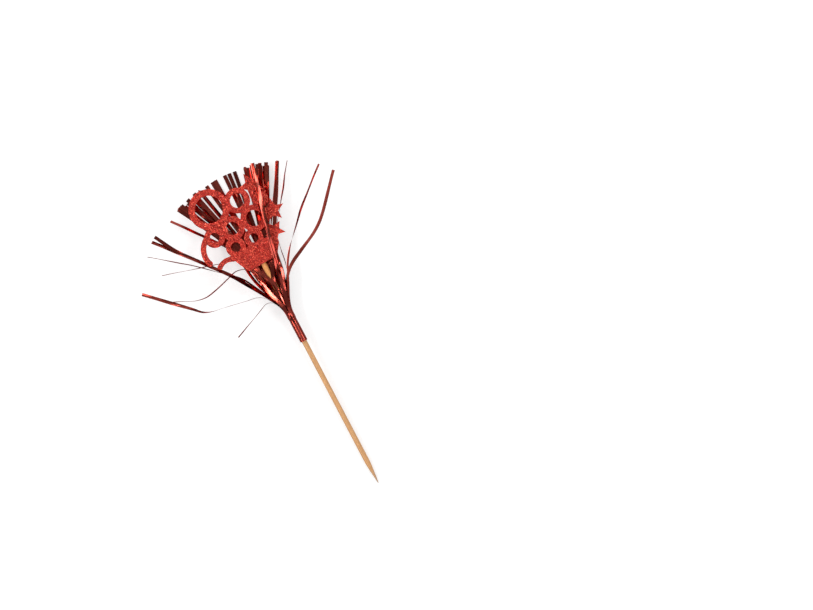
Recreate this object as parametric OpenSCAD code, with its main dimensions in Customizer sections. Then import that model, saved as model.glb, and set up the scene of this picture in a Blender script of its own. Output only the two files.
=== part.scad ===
// Party drink pick: a pointed bamboo skewer, a fringe of slit metallic film wound round it,
// and an openwork of glitter card glued to the skewer's upper end.
// It lies on a flat surface as it comes to rest: point towards -Y, fringe towards +Y, card up.
// The skewer rests on the shoulder of its point, and its other end is carried by the strips
// that are pressed flat on the surface.

/* [Skewer] */
// Diameter of the bamboo skewer
stick_d = 3; // [2.6:0.1:3.6]
// Whole length of the skewer
stick_len = 150; // [146:1:156]
// Length of the sharpened point
point_len = 13; // [8:0.5:18]
// Diameter of the blunted tip
tip_d = 0.4; // [0.2:0.1:0.8]
// Chamfer round the cut end
end_chamfer = 0.25; // [0.1:0.05:0.5]
// Angle at which the skewer lies, lifted by the fringe
lie_tilt = 2.6; // [2:0.1:3.4]

/* [Foil fringe] */
// Distance from the skewer's upper end down to the lower edge of the wound header
header_drop = 59.4; // [58:0.2:62]
// Width of the uncut header, wound round the skewer
header_len = 13.1; // [10:0.1:14]
// Thickness of the film
foil_t = 0.04; // [0.03:0.005:0.05]
// Thickness of each turn of the header, with the glue between the turns
wind_pitch = 0.07; // [0.05:0.005:0.08]
// Width of one strip of the fringe
strip_w = 2.2; // [1.8:0.1:2.3]
// Length of the slits, and so of each strip
strip_len = 91; // [80:1:96]
// Strips on top of each other on each of the six flats of the roll
layers = 8; // [8:1:9]
// Heading of the outermost strips at their tips, from the skewer's own direction
fan_angle = 42; // [36:1:46]
// Length over which a strip bends away from the header
flare_len = 14; // [10:1:20]

/* [Glitter card] */
// Length of the skewer that the card covers
card_lap = 10.4; // [9.6:0.2:12]
// Thickness of the glitter card
card_t = 0.45; // [0.3:0.05:0.8]
// Width of the solid foot of the card along its lower edge
foot_w = 18; // [15:0.5:20]
// Height of the solid foot, which covers the glue
foot_h = 12.5; // [11.5:0.25:14]
// Width of the card left round each ring
ring_band = 3.1; // [2.4:0.1:3.6]

/* [Glue] */
// Thickness of the glue between the skewer and the card
glue_film = 0.2; // [0.1:0.05:0.4]
// Width of the bead of glue against the card
bead_w = 5.6; // [4:0.2:6.4]
// Length of the bead along the skewer
bead_len = 9; // [6:0.5:10]

/* [Hidden] */

bamboo = [0.86, 0.68, 0.48];
red_film = [0.62, 0.13, 0.11];
red_glitter = [0.80, 0.20, 0.16];
clear_glue = [0.93, 0.90, 0.84];

stick_r = stick_d / 2;
// Axis height at the tip, so that the shoulder of the point touches the surface.
axis_z = stick_r * cos(lie_tilt) - point_len * sin(lie_tilt);
header_start = stick_len - header_drop;
header_end = header_start + header_len;
card_start = stick_len - card_lap;

// The film is wound up tightly in six flats, so that every strip starts flat on the one below.
flats = 6;
strip_n = flats * layers;
header_r = sqrt(stick_r * stick_r + strip_n * strip_w * wind_pitch / PI);
// The last turn stops short of a whole one, and is trimmed a little narrower.
lap_start = 33;
lap_angle = 300;
lap_inset = 0.12;
lap_root = 2 * foil_t;
bore_sides = 48;
// Flats of the bore touch the skewer, corners stand just clear of it.
bore_r = stick_r / cos(180 / bore_sides);
// The tight winding presses the wood in by this much, from this far inside its edges.
grip_depth = 0.03;
grip_run = 0.7;

// Past the header the strips are still pressed together, in a collar that opens a little.
collar_len = 3;
collar_taper_len = 2.1;
blade_in = 0.6;
layer_gap = 0.012;
inner_flat = strip_w / 2 / tan(180 / flats) + foil_t;
function flat_r(layer) = inner_flat + layer * (foil_t + layer_gap);
collar_r = sqrt(pow(flat_r(layers - 1) + foil_t, 2) + pow(strip_w / 2, 2)) + foil_t;
collar_bore_r = inner_flat - foil_t;

// Places of the values that set a strip's form: headings from the skewer's own direction after
// the flare, after the first bend and after the second, and the distances to both bends; the
// rise from the skewer's direction and the distance at which it starts; the roll of the strip's
// width and the distance at which that starts; the share of the full length; and the length of
// both bends.
FIRST = 0;
BEND_1 = 1;
SECOND = 2;
BEND_2 = 3;
THIRD = 4;
RISE = 5;
RISE_FROM = 6;
ROLL = 7;
ROLL_FROM = 8;
SHARE = 9;
BEND_LEN = 10;
STEPS = 11;
// Single strips that go their own way. Each row: flat, layer from outside, and the values above.
STRAYS = [
    [3, 0, -34, 14, -80, 46, -46, 4, 0, 52, 40, 1, 11],
    [3, 1, -36, 10, -114, 34, -112, 8, 0, 12, 4, 0.46, 9],
    [3, 2, -30, 30, -39, 56, -40, 0, 0, 50, 12, 1, 16],
    [3, 3, -30, 30, -39, 66, -28, 0, 0, 58, 16, 1, 16],
    [3, 4, -26, 26, -48, 56, -52, 3, 0, 6, 30, 1, 16],
    [2, 0, -9, 31, -74, 56, -74, -4, 0, 48, 10, 1, 18],
    [2, 1, -15, 29, -106, 57, -66, -4.4, 0, 44, 10, 1, 18],
    [4, 0, -24, 18, -7, 42, -38, -3, 0, -24, 10, 1, 16],
    [0, 0, 22, 14, 64, 46, 42, 5, 0, 44, 14, 1, 22],
    [0, 1, 26, 25, 44, 53, 50, 6, 0, -38, 30, 1, 18],
    [1, 0, 13, 30, 14, 56, 15, 3.6, 0, 24, 6, 1, 9],
    [1, 1, 15, 24, 10, 60, 19, 4, 0, -48, 8, 1, 9],
    [1, 7, -5, 16, 21, 50, 24, -11, 22, 30, 0, 1, 9],
    [2, 6, 5, 16, -23.5, 50, -20, -11, 22, -30, 0, 1, 9],
];

// Even strips turn in three steps: shares of the heading after the flare and after both bends,
// and the distances to the bends, which differ a little from strip to strip.
turn_shares = [0.75, 0.36, 1.12];
bends_at = [17, 42];
bends_vary = [3, 5];
// Headings and rises of the even strips, from the innermost layer to the outermost.
side_headings = [11, fan_angle];
side_rises = [-5, 3];
upper_headings = [14, fan_angle * 0.72];
upper_rises = [-4.4, -3.2];
lower_headings = [1, fan_angle * 0.55];
lower_rises = [-7, -13];
// How much neighbours differ in heading, in rise and in roll.
side_vary = 2;
heading_vary = 1.2;
rise_vary = 1.5;
roll_vary = 8;
// Side strips stay on edge and twist further out, the others soon turn level.
side_rolls = [8, 60];
level_roll = 180 / flats;
side_roll_from = 36;
upper_roll_from = 8;
lower_roll_from = 2;

// Length of a bend of an even strip, and the length over which every strip rolls.
bend_len = 9;
roll_len = 30;
// Stretches of an even strip and of a stray one, shorter where they bend away.
even_steps = 8;
stray_steps = 18;
step_growth = 1.25;
// Heights of the lowest strips above the surface and above each other, in thicknesses of the film.
rest_first = 0.6;
rest_layer = 2.4;
rest_flat = 1.2;

golden_part = 0.618034;
vary_shift = 0.377;
card_bottom = stick_r + glue_film;
// The bead reaches down the sides of the skewer, and is a little wider than it there.
bead_depth = 0.7;
bead_waist = 1.1;

// The card's foot spreads upwards, by this much on its left and on its right.
foot_spread = [6, 5.5];
foot_slant = 0.6;
// Rings of the card: middle from the foot's lower edge, outer radius, and change of the band.
RINGS = [
    [-13, 41, 11.5, 0.6],
    [3.4, 38.2, 7.2, 0],
    [-6.2, 25.6, 6.8, 0],
    [7.2, 25.2, 7.6, 0],
    [-9.4, 15.4, 5.6, -0.3],
    [2, 15.4, 5.4, -0.3],
    [-17.4, 25.6, 5.8, 0],
    [15.2, 33.2, 4.6, -0.6],
];
// Stars: middle, outer radius and turn.
STARS = [
    [14.4, 42.4, 7.6, 8],
    [18.6, 24.4, 6.8, -14],
    [14.4, 13.6, 6, 20],
];
star_points = 5;
star_waist = 0.46;
// Curls: middle, outer radius, angles at both ends, and change of the band.
CURLS = [
    [-16.2, 17.6, 12.6, 122, 200, 0],
    [-17.5, 3.2, 9.4, 62, 128, -0.3],
];
curl_swell = 0.12;

function mix(a, b, t) = a + (b - a) * t;
function clamp01(t) = min(max(t, 0), 1);
function ease(t) = let (u = clamp01(t)) u * u * (3 - 2 * u);
// Evenly spread values from -1 to 1 that differ from strip to strip.
function vary(i, k) = let (v = i * golden_part + k * vary_shift) 2 * (v - floor(v)) - 1;

// A point of the pick's own frame (x across, y from the tip, z up from the axis), laid down.
function laid(p) = [
    p.x,
    p.y * cos(lie_tilt) - p.z * sin(lie_tilt),
    axis_z + p.y * sin(lie_tilt) + p.z * cos(lie_tilt)
];

function spec(i, turn, rise, roll, roll_from) = [
    turn * turn_shares[0],
    bends_at[0] + bends_vary[0] * vary(i, 1),
    turn * turn_shares[1],
    bends_at[1] + bends_vary[1] * vary(i, 5),
    turn * turn_shares[2],
    rise,
    0,
    roll,
    roll_from,
    1,
    bend_len,
    even_steps
];
// Flats 0 and 3 are at the sides: their strips stay on edge and twist further out.
function side_strip(i, way, out) = spec(
    i,
    way * mix(side_headings[0], side_headings[1], out) + side_vary * vary(i, 2),
    mix(side_rises[0], side_rises[1], out * out) + rise_vary * out * vary(i, 3),
    mix(side_rolls[0], side_rolls[1], 0.5 + 0.5 * vary(i, 4)),
    side_roll_from
);
// Flats 1 and 2 are on top: their strips part past the skewer and go down under the card.
function upper_strip(i, way, out) = spec(
    i,
    way * mix(upper_headings[0], upper_headings[1], out) + heading_vary * vary(i, 2),
    mix(upper_rises[0], upper_rises[1], out),
    way * level_roll + roll_vary * vary(i, 3),
    upper_roll_from
);
// Flats 4 and 5 are below: their strips are pressed flat on the surface.
function lower_strip(i, way, out) = spec(
    i,
    way * mix(lower_headings[0], lower_headings[1], out) + heading_vary * vary(i, 2),
    mix(lower_rises[0], lower_rises[1], out),
    -way * level_roll,
    lower_roll_from
);
function even_strip(flat, layer) = let (
    i = flat + flats * layer,
    out = layer / (layers - 1)
) flat == 0 ? side_strip(i, 1, out)
    : flat == 1 ? upper_strip(i, 1, out)
    : flat == 2 ? upper_strip(i, -1, out)
    : flat == 3 ? side_strip(i, -1, out)
    : flat == 4 ? lower_strip(i, -1, out)
    : lower_strip(i, 1, out);
function strip_spec(flat, layer) = let (
    stray = [for (q = STRAYS) if (q[0] == flat && q[1] == layers - 1 - layer) q]
) len(stray) > 0 ? [for (k = [2:12]) stray[0][k], stray_steps] : even_strip(flat, layer);

// Heading and rise of a strip at a distance along it, and the roll of its width.
function heading(q, s) = q[FIRST] * ease(s / flare_len)
    + (q[SECOND] - q[FIRST]) * ease((s - q[BEND_1]) / q[BEND_LEN])
    + (q[THIRD] - q[SECOND]) * ease((s - q[BEND_2]) / q[BEND_LEN]);
function rise(q, s) = lie_tilt + q[RISE] * ease((s - q[RISE_FROM]) / flare_len);
function roll(q, s, azimuth) = azimuth + 90 + q[ROLL] * ease((s - q[ROLL_FROM]) / roll_len);
function ahead(a, e) = [sin(a) * cos(e), cos(a) * cos(e), sin(e)];
function width_way(a, e, r) =
    cos(r) * [cos(a), -sin(a), 0] + sin(r) * [-sin(a) * sin(e), -cos(a) * sin(e), cos(e)];

// Strips on the surface lie on one another, the outer layers lowest.
function rest_height(flat, layer) =
    foil_t * (rest_first + rest_layer * (layers - 1 - layer) + rest_flat * (flat % 2));
function lifted(p, side, lowest) = [p.x, p.y, max(p.z, lowest + abs(side.z) * strip_w / 2)];

// Middle line of a strip, worked out station by station from its heading and rise.
function middle_line(flat, layer, q) = let (
    azimuth = 360 / flats * flat,
    r = flat_r(layer),
    y = header_end + collar_len - blade_in,
    start = laid([r * cos(azimuth), y, r * sin(azimuth)]),
    long = (strip_len - collar_len + blade_in) * q[SHARE],
    steps = q[STEPS],
    at = [for (k = [0:steps]) long * pow(k / steps, step_growth)]
) [for (
    k = 0, p = start;
    k <= steps;
    p = k < steps
        ? let (
            m = (at[k] + at[k + 1]) / 2,
            s = at[k + 1],
            side = width_way(heading(q, s), rise(q, s), roll(q, s, azimuth))
        ) lifted(
            p + (s - at[k]) * ahead(heading(q, m), rise(q, m)),
            side,
            rest_height(flat, layer)
        )
        : p,
    k = k + 1
) [p, at[k]]];

// Four corners of the strip's cross-section at each station.
function corners(flat, layer) = let (q = strip_spec(flat, layer), azimuth = 360 / flats * flat) [
    for (m = middle_line(flat, layer, q))
        let (
            a = heading(q, m[1]),
            e = rise(q, m[1]),
            way = width_way(a, e, roll(q, m[1], azimuth)),
            side = way * strip_w / 2,
            face = cross(ahead(a, e), way) * foil_t / 2
        )
        each [m[0] - side - face, m[0] + side - face, m[0] + side + face, m[0] - side + face]
];
BLADES = [for (flat = [0:flats - 1], layer = [0:layers - 1]) corners(flat, layer)];

// The whole pick is centred on the origin in plan.
xs = [for (c = BLADES) for (p = c) p.x];
ys = [for (c = BLADES) for (p = c) p.y];
centre = [(max(xs) + min(xs)) / 2, (max(ys) + laid([0, 0, 0]).y) / 2, 0];

module lay_down() {
    translate([-centre.x, -centre.y, axis_z])
        rotate([lie_tilt, 0, 0])
            children();
}

// Along the skewer: z of what is drawn runs from the tip towards the fringe.
module along_stick(from = 0) {
    translate([0, from, 0])
        rotate([-90, 0, 0])
            children();
}

module bamboo_skewer() {
    color(bamboo)
        lay_down()
            along_stick()
                rotate_extrude($fn = 64)
                    polygon([
                        [0, 0],
                        [tip_d / 2, 0],
                        [stick_r, point_len],
                        [stick_r, header_start],
                        [stick_r - grip_depth, header_start + grip_run],
                        [stick_r - grip_depth, header_end - grip_run],
                        [stick_r, header_end],
                        [stick_r, stick_len - end_chamfer],
                        [stick_r - end_chamfer, stick_len],
                        [0, stick_len]
                    ]);
}

// Film wound round the skewer: the header and the collar of strips above it.
module wound_header() {
    rotate_extrude($fn = bore_sides)
        polygon([
            [bore_r, 0],
            [header_r, 0],
            [header_r, header_len],
            [collar_r, header_len + collar_taper_len],
            [collar_r, header_len + collar_len],
            [collar_bore_r, header_len + collar_len],
            [bore_r, header_len],
            [bore_r - grip_depth, header_len - grip_run],
            [bore_r - grip_depth, grip_run]
        ]);
    // The outer end of the film stands out as a step.
    rotate(lap_start)
        rotate_extrude(angle = lap_angle, $fn = bore_sides)
            translate([header_r - lap_root, lap_inset])
                square([lap_root + foil_t, header_len - 2 * lap_inset]);
}

// The start of a strip, from between the turns of the header to its place in the collar.
module strip_root(flat, layer) {
    azimuth = 360 / flats * flat;
    wound_r = stick_r + (layer + 0.5) * foil_t;
    hull()
        for (p = [[wound_r + foil_t / 2, 0], [flat_r(layer), collar_len - blade_in]])
            translate([p.x * cos(azimuth), header_end + p.y, p.x * sin(azimuth)])
                rotate([0, -azimuth, 0])
                    cube([foil_t, foil_t, strip_w], center = true);
}

// The free length of a strip: its cross-section swept along the middle line.
module strip_blade(c) {
    steps = len(c) / 4 - 1;
    last = 4 * steps;
    translate([-centre.x, -centre.y, 0])
        polyhedron(
            points = c,
            faces = [
                [0, 1, 2],
                [0, 2, 3],
                for (k = [0:steps - 1], e = [0:3])
                    let (a = 4 * k + e, b = 4 * k + (e + 1) % 4)
                    each e == 2
                        ? [[a, a + 4, b], [b, a + 4, b + 4]]
                        : [[a, a + 4, b + 4], [a, b + 4, b]],
                [last, last + 2, last + 1],
                [last, last + 3, last + 2]
            ]
        );
}

module foil_fringe() {
    color(red_film)
        union() {
            lay_down() {
                along_stick(header_start)
                    wound_header();
                for (flat = [0:flats - 1], layer = [0:layers - 1])
                    strip_root(flat, layer);
            }
            for (c = BLADES)
                strip_blade(c);
        }
}

// Hot-melt glue in the corners between the round skewer and the flat card.
module glue_bead() {
    color(clear_glue)
        lay_down()
            along_stick(stick_len - bead_len - end_chamfer)
                linear_extrude(bead_len)
                    difference() {
                        polygon([
                            [-bead_w / 2, -card_bottom],
                            [bead_w / 2, -card_bottom],
                            [stick_r * bead_waist, bead_depth * stick_r - stick_r],
                            [-stick_r * bead_waist, bead_depth * stick_r - stick_r]
                        ]);
                        circle(stick_r, $fn = 64);
                    }
}

module ring(x, y, r, band) {
    translate([x, y])
        difference() {
            circle(r, $fn = 64);
            circle(r - band, $fn = 64);
        }
}

module star(x, y, r, turn) {
    translate([x, y])
        rotate(turn)
            polygon([
                for (k = [0:2 * star_points - 1])
                    let (a = 90 + 180 * k / star_points, d = k % 2 == 0 ? r : r * star_waist)
                    [d * cos(a), d * sin(a)]
            ]);
}

// A curl: a band bent to an arc between two angles, with round ends a little wider than it.
module curl(x, y, r, from, to, band) {
    mid_r = r - band / 2;
    translate([x, y]) {
        intersection() {
            difference() {
                circle(r, $fn = 64);
                circle(r - band, $fn = 64);
            }
            polygon(concat(
                [[0, 0]],
                [for (a = [0:3]) let (t = from + (to - from) * a / 3) [3 * r * cos(t), 3 * r * sin(t)]]
            ));
        }
        for (a = [from, to])
            translate([mid_r * cos(a), mid_r * sin(a)])
                circle(band / 2 + curl_swell, $fn = 32);
    }
}

// Rings, stars and curls over a solid foot, drawn from the middle of the lower edge.
module card_outline() {
    polygon([
        [-foot_w / 2, 0],
        [foot_w / 2, foot_slant],
        [foot_w / 2 + foot_spread.y * 0.8, foot_h * 0.55],
        [foot_w / 2 + foot_spread.y, foot_h],
        [-foot_w / 2 - foot_spread.x, foot_h],
        [-foot_w / 2 - foot_spread.x * 0.5, foot_h * 0.45]
    ]);
    for (q = RINGS)
        ring(q[0], q[1], q[2], ring_band + q[3]);
    for (q = STARS)
        star(q[0], q[1], q[2], q[3]);
    for (q = CURLS)
        curl(q[0], q[1], q[2], q[3], q[4], ring_band + q[5]);
}

module glitter_card() {
    color(red_glitter)
        lay_down()
            translate([0, card_start, card_bottom])
                linear_extrude(card_t)
                    card_outline();
}

bamboo_skewer();
foil_fringe();
glue_bead();
glitter_card();
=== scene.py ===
"""Looks of a party drink pick: bamboo skewer, wound fringe of red metallic film, glitter card.

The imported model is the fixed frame. The skewer, the fringe and the glue are rebuilt round the
same sizes with finer surfaces, and the card keeps its solid and gets flakes of glitter.
Sizes are in millimetres in the pick's own frame: x across, y from the tip, z up from the
skewer's axis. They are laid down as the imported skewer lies, and turned into metres at the end.
"""

import logging
import math
from dataclasses import dataclass, field
from enum import Enum
from typing import Any

import bpy
import numpy as np
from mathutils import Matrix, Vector

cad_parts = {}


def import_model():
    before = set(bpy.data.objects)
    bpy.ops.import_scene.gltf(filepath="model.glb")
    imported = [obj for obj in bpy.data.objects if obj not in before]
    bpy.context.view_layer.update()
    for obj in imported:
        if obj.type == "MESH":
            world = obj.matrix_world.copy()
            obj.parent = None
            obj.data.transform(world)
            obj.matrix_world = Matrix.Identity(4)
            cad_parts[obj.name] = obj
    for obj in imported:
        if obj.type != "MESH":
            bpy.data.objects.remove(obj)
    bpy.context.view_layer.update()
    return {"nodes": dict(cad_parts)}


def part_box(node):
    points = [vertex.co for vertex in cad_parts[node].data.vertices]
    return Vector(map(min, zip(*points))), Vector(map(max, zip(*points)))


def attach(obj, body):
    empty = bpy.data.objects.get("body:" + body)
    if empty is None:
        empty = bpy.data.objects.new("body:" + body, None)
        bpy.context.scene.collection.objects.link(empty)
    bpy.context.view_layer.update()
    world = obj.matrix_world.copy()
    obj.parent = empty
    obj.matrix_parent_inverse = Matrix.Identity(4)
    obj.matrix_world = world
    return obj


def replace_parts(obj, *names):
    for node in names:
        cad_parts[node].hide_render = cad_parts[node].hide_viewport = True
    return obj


Array = np.ndarray
Colour = tuple[float, float, float]

MM = 0.001
GOLDEN_PART = 0.618034
VARY_SHIFT = 0.377
# Degrees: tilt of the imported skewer, and least angle between faces that leaves a sharp edge.
LIE_TILT = 2.6
SHARP_ANGLE = 50
log = logging.getLogger("drink_pick")


def ease(t: Array) -> Array:
    """Smooth step from 0 to 1: 3t^2 - 2t^3, held flat outside that range.

    Args:
        t: Places along the step.

    Returns:
        The eased values.
    """
    u = np.clip(t, 0.0, 1.0)
    return u * u * (3.0 - 2.0 * u)


def mix(a: Any, b: Any, t: Any) -> Any:
    """Value a share t of the way from a to b."""
    return a + (b - a) * t


def vary(i: float, k: float) -> float:
    """Evenly spread values from -1 to 1: the fraction of i golden parts plus k shifts, doubled.

    Args:
        i: Number of the strip.
        k: Number of the value, so that each has its own series.

    Returns:
        The value of that strip.
    """
    v = i * GOLDEN_PART + k * VARY_SHIFT
    return 2.0 * (v - math.floor(v)) - 1.0


def unit(vectors: Array) -> Array:
    """Vectors of length one along the last axis."""
    return vectors / np.linalg.norm(vectors, axis=-1, keepdims=True)


def grid_faces(rows: int, cols: int, close_rows: bool = False) -> Array:
    """Quads of a grid of points whose columns close into rings.

    Quad (k, j) joins points j and j+1 of row k with the same two points of row k+1.

    Args:
        rows: Number of rings.
        cols: Points in each ring.
        close_rows: Whether the last ring joins the first one too.

    Returns:
        Point numbers, four for each quad.
    """
    k, j = np.meshgrid(np.arange(rows if close_rows else rows - 1), np.arange(cols), indexing="ij")
    up, on = (k + 1) % rows, (j + 1) % cols
    quads = np.stack([k * cols + j, k * cols + on, up * cols + on, up * cols + j], axis=-1)
    return quads.reshape(-1, 4)


def end_faces(rows: int, half: int) -> Array:
    """Quads that close both ends of a tube of thin section, whose rings go there and back.

    Args:
        rows: Number of rings.
        half: Points on each of a ring's two sides.

    Returns:
        Point numbers, four for each quad.
    """
    j = np.arange(half - 1)
    end = np.stack([j, j + 1, 2 * half - 2 - j, 2 * half - 1 - j], axis=-1)
    return np.concatenate([end[:, ::-1], end + (rows - 1) * 2 * half])


@dataclass(frozen=True)
class Lie:
    """How the pick lies: the tilt of its own frame and where its tip is.

    Attributes:
        tilt: Rise of the skewer, in degrees.
        axis_z: Height of the axis at the tip.
        tip_x: Place of the tip across.
        tip_y: Place of the tip along.
    """

    tilt: float
    axis_z: float
    tip_x: float
    tip_y: float

    def place(self, points: Array) -> Array:
        """Turns points about x by the tilt and moves them to where the pick lies.

        Args:
            points: Points in the pick's own frame.

        Returns:
            Points in the row frame, in millimetres.
        """
        c, s = math.cos(math.radians(self.tilt)), math.sin(math.radians(self.tilt))
        x, y, z = points[..., 0], points[..., 1], points[..., 2]
        return np.stack(
            [x + self.tip_x, y * c - z * s + self.tip_y, y * s + z * c + self.axis_z], axis=-1
        )


@dataclass
class Shell:
    """A closed mesh in the making, with values that its material reads.

    Attributes:
        name: Name of the piece.
        points: Blocks of points in the row frame, in millimetres.
        faces: Lists of point numbers, one list for each face.
        uv: Blocks of two values for each point, in millimetres over the surface.
        tone: Blocks of one value for each point, from 0 to 1.
        count: Points so far.
    """

    name: str
    points: list[Array] = field(default_factory=list)
    faces: list[list[int]] = field(default_factory=list)
    uv: list[Array] = field(default_factory=list)
    tone: list[Array] = field(default_factory=list)
    count: int = 0

    def add(self, points: Array, faces: Array, uv: Array, tone: Array) -> None:
        """Adds a block of points and its faces.

        Args:
            points: Points, three values each.
            faces: Point numbers within this block.
            uv: Two values for each point.
            tone: One value for each point.
        """
        self.points.append(points.reshape(-1, 3))
        self.uv.append(uv.reshape(-1, 2))
        self.tone.append(tone.reshape(-1))
        self.faces += (faces + self.count).tolist()
        self.count += points.size // 3

    def piece(self, material: bpy.types.Material, body: str) -> bpy.types.Object:
        """Makes the object, in metres, dressed and riding on its body.

        Args:
            material: Its finish.
            body: The body that it rides on.

        Returns:
            The finished object.
        """
        mesh = bpy.data.meshes.new(self.name)
        mesh.from_pydata((np.concatenate(self.points) * MM).tolist(), [], self.faces)
        corners = np.zeros(len(mesh.loops), np.int32)
        mesh.loops.foreach_get("vertex_index", corners)
        layer = mesh.uv_layers.new(name="surface_mm")
        layer.uv.foreach_set("vector", np.concatenate(self.uv)[corners].astype(np.float32).ravel())
        tone = mesh.attributes.new("tone", "FLOAT", "POINT")
        tone.data.foreach_set("value", np.concatenate(self.tone).astype(np.float32))
        mesh.shade_smooth()
        mesh.set_sharp_from_angle(angle=math.radians(SHARP_ANGLE))
        mesh.materials.append(material)
        made = bpy.data.objects.new(self.name, mesh)
        bpy.context.scene.collection.objects.link(made)
        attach(made, body)
        log.info("%s: %d points, %d faces", self.name, self.count, len(self.faces))
        return made


class Tree:
    """Short ways to add and join the nodes of one node tree."""

    def __init__(self, tree: bpy.types.NodeTree) -> None:
        """Keeps the tree that the nodes go into."""
        self.tree = tree

    def fill(self, node: bpy.types.Node, inputs: dict[Any, Any]) -> bpy.types.Node:
        """Sets or joins the inputs of a node.

        Args:
            node: The node.
            inputs: Input name or number, with a constant or with another node's output.

        Returns:
            The same node.
        """
        for name, value in inputs.items():
            if isinstance(value, bpy.types.NodeSocket):
                self.tree.links.new(value, node.inputs[name])
            else:
                node.inputs[name].default_value = value
        return node

    def add(self, kind: str, inputs: dict[Any, Any] | None = None, **settings: Any) -> bpy.types.Node:
        """Adds a node, and sets or joins its inputs.

        Args:
            kind: The node's Blender type.
            inputs: Input name or number, with a constant or with another node's output.
            settings: Properties of the node.

        Returns:
            The new node.
        """
        node = self.tree.nodes.new(kind)
        for name, value in settings.items():
            setattr(node, name, value)
        return self.fill(node, inputs or {})

    def math(self, operation: str, a: Any, b: Any = 0.0, clamp: bool = False) -> bpy.types.NodeSocket:
        """The result of one sum on values or outputs.

        Args:
            operation: Name of the operation.
            a: First value or output.
            b: Second value or output.
            clamp: Whether the result is held between 0 and 1.

        Returns:
            The node's output.
        """
        node = self.add("ShaderNodeMath", {0: a, 1: b}, operation=operation, use_clamp=clamp)
        return node.outputs[0]

    def line(self, value: Any, slope: float, start: float) -> bpy.types.NodeSocket:
        """A value times the slope, plus the start."""
        return self.math("ADD", self.math("MULTIPLY", value, slope), start)

    def vector(self, operation: str, inputs: dict[Any, Any]) -> bpy.types.Node:
        """A node that reckons with vectors."""
        return self.add("ShaderNodeVectorMath", inputs, operation=operation)

    def blend(self, factor: Any, a: Any, b: Any) -> bpy.types.NodeSocket:
        """A colour a share of the way from a to b.

        Args:
            factor: Share, a value or an output.
            a: First colour or output.
            b: Second colour or output.

        Returns:
            The colour output.
        """
        ends = {6: a, 7: b}
        for number, colour in ends.items():
            if not isinstance(colour, bpy.types.NodeSocket):
                ends[number] = (*colour, 1.0)
        return self.add("ShaderNodeMix", {0: factor, **ends}, data_type="RGBA").outputs[2]

    def ramp(self, factor: bpy.types.NodeSocket, stops: dict[float, Colour]) -> bpy.types.NodeSocket:
        """A colour read from a ramp.

        Args:
            factor: Where to read, from 0 to 1.
            stops: Colour at each place of the ramp.

        Returns:
            The colour output.
        """
        node = self.add("ShaderNodeValToRGB", {0: factor})
        band = node.color_ramp.elements
        while len(band) < len(stops):
            band.new(0.5)
        for element, (place, colour) in zip(band, sorted(stops.items())):
            element.position = place
            element.color = (*colour, 1.0)
        return node.outputs[0]

    def surface(self) -> bpy.types.NodeSocket:
        """Places on the piece's own surface map, in millimetres."""
        return self.add("ShaderNodeUVMap", uv_map="surface_mm").outputs[0]

    def tone(self) -> bpy.types.NodeSocket:
        """The tone that the mesh carries."""
        return self.add("ShaderNodeAttribute", attribute_name="tone").outputs["Fac"]

    def bump(self, height: bpy.types.NodeSocket, strength: float, depth: float) -> bpy.types.NodeSocket:
        """A normal that follows a height, whose depth is in metres."""
        node = self.add("ShaderNodeBump", {"Height": height, "Strength": strength, "Distance": depth})
        return node.outputs[0]


def new_group(name: str, inputs: dict[str, str], outputs: dict[str, str]) -> tuple[Tree, Any, Any]:
    """Starts a shader node group with named sockets.

    Args:
        name: The group's name.
        inputs: Socket type of each input.
        outputs: Socket type of each output.

    Returns:
        The tree, the sockets that give the inputs and the node that takes the outputs.
    """
    group = bpy.data.node_groups.new(name, "ShaderNodeTree")
    for direction, sockets in (("INPUT", inputs), ("OUTPUT", outputs)):
        for socket, kind in sockets.items():
            group.interface.new_socket(socket, in_out=direction, socket_type="NodeSocket" + kind)
    tree = Tree(group)
    return tree, tree.add("NodeGroupInput").outputs, tree.add("NodeGroupOutput")


def grain_group() -> None:
    """Soft uneven grain: noise on stretched coordinates, with its contrast raised round a half."""
    tree, get, taken = new_group(
        "grain",
        {"Vector": "Vector", "Stretch": "Vector", "Scale": "Float", "Contrast": "Float"},
        {"Value": "Float"},
    )
    stretched = tree.vector("MULTIPLY", {0: get["Vector"], 1: get["Stretch"]})
    noise = tree.add(
        "ShaderNodeTexNoise",
        {"Vector": stretched.outputs[0], "Scale": get["Scale"], "Detail": 5.0, "Roughness": 0.55},
    )
    raised = tree.math("MULTIPLY", tree.math("SUBTRACT", noise.outputs[0], 0.5), get["Contrast"])
    tree.fill(taken, {"Value": tree.math("ADD", raised, 0.5, clamp=True)})


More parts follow.
